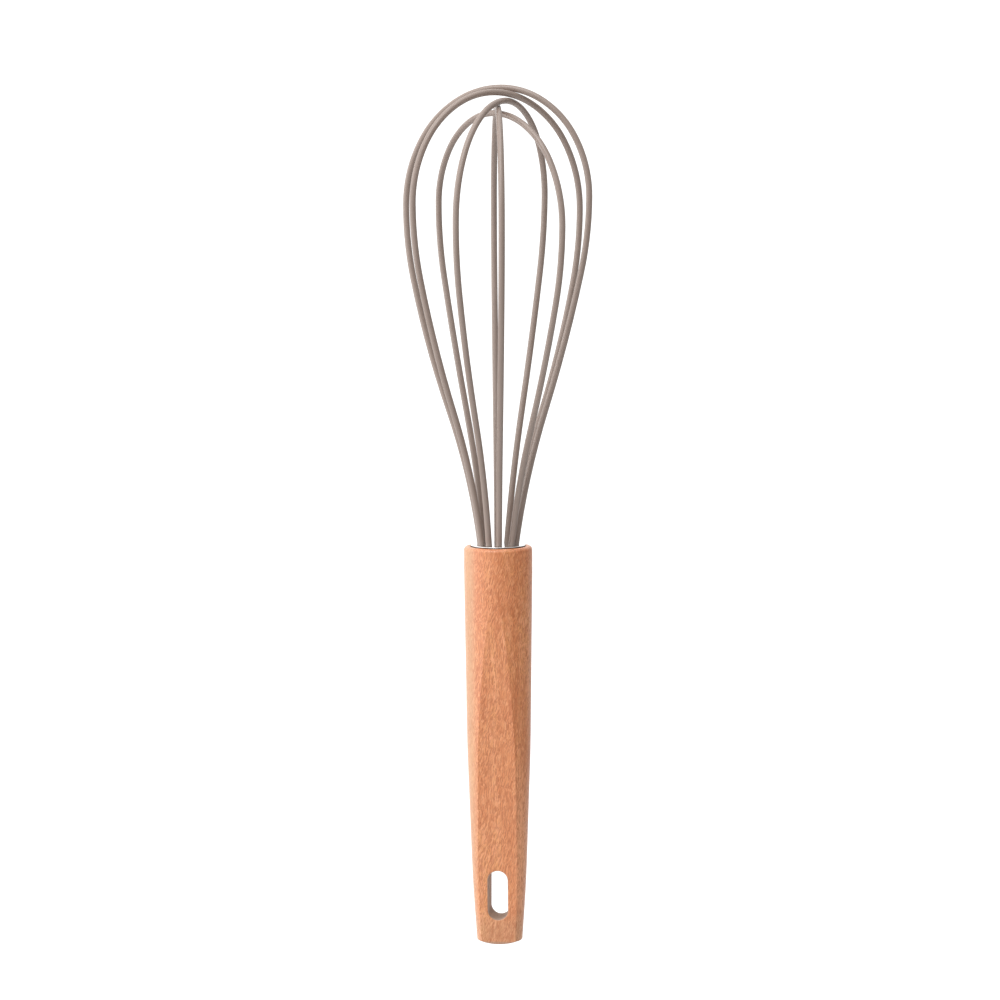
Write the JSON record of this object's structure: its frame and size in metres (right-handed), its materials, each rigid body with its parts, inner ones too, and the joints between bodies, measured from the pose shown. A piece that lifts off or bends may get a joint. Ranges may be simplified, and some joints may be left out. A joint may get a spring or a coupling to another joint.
{
  "type": "balloon whisk",
  "caption": "Balloon whisk with crossing silicone-sleeved wire loops set through a steel end cap into a tapered, flat-sided wooden handle that has a slot for hanging.",
  "frame": {"origin": "middle of the handle's butt, at the lowest point of the whisk when it stands upright", "axes": "+Z along the handle towards the top of the balloon; the hanging slot is pierced along Y; -Y is the front"},
  "size_m": [0.0671, 0.0634, 0.3013],
  "materials": {
    "wood": "satin",
    "polished_steel": "polished",
    "wire_steel": "drawn",
    "silicone": "satin",
    "resin": "gloss"
  },
  "bodies": {
    "root": {"handle": "wood", "end_cap": "polished_steel", "resin_plug": "resin", "wire_core_1": "wire_steel", "wire_core_2": "wire_steel", "wire_core_3": "wire_steel", "wire_core_4": "wire_steel", "wire_core_5": "wire_steel", "silicone_sleeve_1": "silicone", "silicone_sleeve_2": "silicone", "silicone_sleeve_3": "silicone", "silicone_sleeve_4": "silicone", "silicone_sleeve_5": "silicone"}
  },
  "joints": []
}
